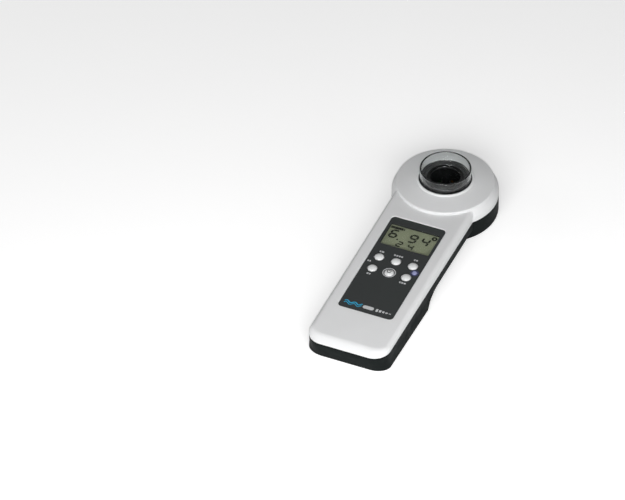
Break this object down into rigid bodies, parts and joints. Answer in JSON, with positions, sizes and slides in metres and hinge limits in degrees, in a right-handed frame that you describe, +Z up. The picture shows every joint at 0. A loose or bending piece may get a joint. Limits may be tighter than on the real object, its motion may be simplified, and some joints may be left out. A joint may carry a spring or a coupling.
{
  "type": "digital water tester",
  "caption": "Handheld photometer for pool water: round sample head with a lift-out clear cuvette, flat handle with display and sprung keys, screwed battery cover.",
  "frame": {"origin": "centre of the footprint, on the surface that the tester lies on", "axes": "+Z up, +Y along the handle towards the round sample head, +X to the right of the person who reads the display"},
  "size_m": [0.07, 0.202, 0.034],
  "materials": {
    "white_case": "satin moulded ABS, light grey white",
    "dark_case": "fine matt texture, anthracite with a green tint",
    "label": "dark grey printed polycarbonate film",
    "keys": "smooth light grey silicone",
    "carbon": "matt black conductive rubber",
    "mat": "matt grey silicone",
    "seal": "matt black rubber",
    "lens": "clear acrylic",
    "lcd": "olive grey liquid crystal glass",
    "backlight": "milky light panel",
    "black_plastic": "black moulded plastic",
    "board": "green glass-fibre circuit board",
    "chip": "black epoxy package",
    "shield": "tinned steel can",
    "socket": "cream plastic",
    "ribbon": "amber polyimide film",
    "lamp_red": "tinted epoxy",
    "lamp_amber": "tinted epoxy",
    "lamp_green": "tinted epoxy",
    "detector": "dark epoxy",
    "guide": "blue tinted acrylic",
    "clear": "clear moulded acrylic",
    "cell": "printed battery sleeve",
    "contact": "nickel plated spring brass",
    "screw": "zinc plated steel",
    "plate": "brushed blank foil"
  },
  "bodies": {
    "root": {"upper_case": "white_case", "lower_case": "dark_case", "case_gasket": "seal", "rating_plate": "plate", "key_mat": "mat", "front_label": "label", "status_light_guide": "guide", "display_window": "lens", "display_holder": "black_plastic", "lcd_glass": "lcd", "backlight_panel": "backlight", "contact_strip": "mat", "main_board": "board", "processor_chip": "chip", "wireless_module": "shield", "ribbon_socket": "socket", "cuvette_well": "black_plastic", "lamp_1": "lamp_red", "lamp_2": "lamp_amber", "lamp_3": "lamp_green", "light_detector_1": "detector", "light_detector_2": "detector", "light_detector_3": "detector", "optics_ribbon": "ribbon", "battery_1": "cell", "battery_contact_1": "contact", "battery_spring_1": "contact", "battery_2": "cell", "battery_contact_2": "contact", "battery_spring_2": "contact", "battery_3": "cell", "battery_contact_3": "contact", "battery_spring_3": "contact", "case_screw_1": "screw", "case_screw_2": "screw", "case_screw_3": "screw", "case_screw_4": "screw", "case_screw_5": "screw", "case_screw_6": "screw"},
    "key_1_body": {"key_1": "keys", "key_1_contact": "carbon"},
    "key_2_body": {"key_2": "keys", "key_2_contact": "carbon"},
    "key_3_body": {"key_3": "keys", "key_3_contact": "carbon"},
    "key_4_body": {"key_4": "keys", "key_4_contact": "carbon"},
    "key_power_body": {"key_power": "keys", "key_power_contact": "carbon"},
    "key_5_body": {"key_5": "keys", "key_5_contact": "carbon"},
    "cuvette_body": {"cuvette": "clear", "cuvette_seal": "seal"},
    "cover_body": {"battery_cover": "dark_case", "battery_cover_seal": "seal", "cover_screw_1": "screw", "cover_screw_2": "screw", "cover_screw_3": "screw", "cover_screw_4": "screw"}
  },
  "joints": [
    {"name": "key_1_press", "type": "slide", "parent": "root", "child": "key_1_body", "axis": [0, 0.0287, -0.9996], "range_m": [0, 0.0008], "stiffness_N_per_m": 1500},
    {"name": "key_2_press", "type": "slide", "parent": "root", "child": "key_2_body", "axis": [0, 0.0287, -0.9996], "range_m": [0, 0.0008], "stiffness_N_per_m": 1500},
    {"name": "key_3_press", "type": "slide", "parent": "root", "child": "key_3_body", "axis": [0, 0.0287, -0.9996], "range_m": [0, 0.0008], "stiffness_N_per_m": 1500},
    {"name": "key_4_press", "type": "slide", "parent": "root", "child": "key_4_body", "axis": [0, 0.0287, -0.9996], "range_m": [0, 0.0008], "stiffness_N_per_m": 1500},
    {"name": "key_power_press", "type": "slide", "parent": "root", "child": "key_power_body", "axis": [0, 0.0287, -0.9996], "range_m": [0, 0.0008], "stiffness_N_per_m": 1500},
    {"name": "key_5_press", "type": "slide", "parent": "root", "child": "key_5_body", "axis": [0, 0.0287, -0.9996], "range_m": [0, 0.0008], "stiffness_N_per_m": 1500},
    {"name": "cuvette_lift", "type": "slide", "parent": "root", "child": "cuvette_body", "axis": [0, 0, 1], "range_m": [0, 0.026]},
    {"name": "battery_cover_off", "type": "slide", "parent": "root", "child": "cover_body", "axis": [0, 0, -1], "range_m": [0, 0.02]}
  ]
}
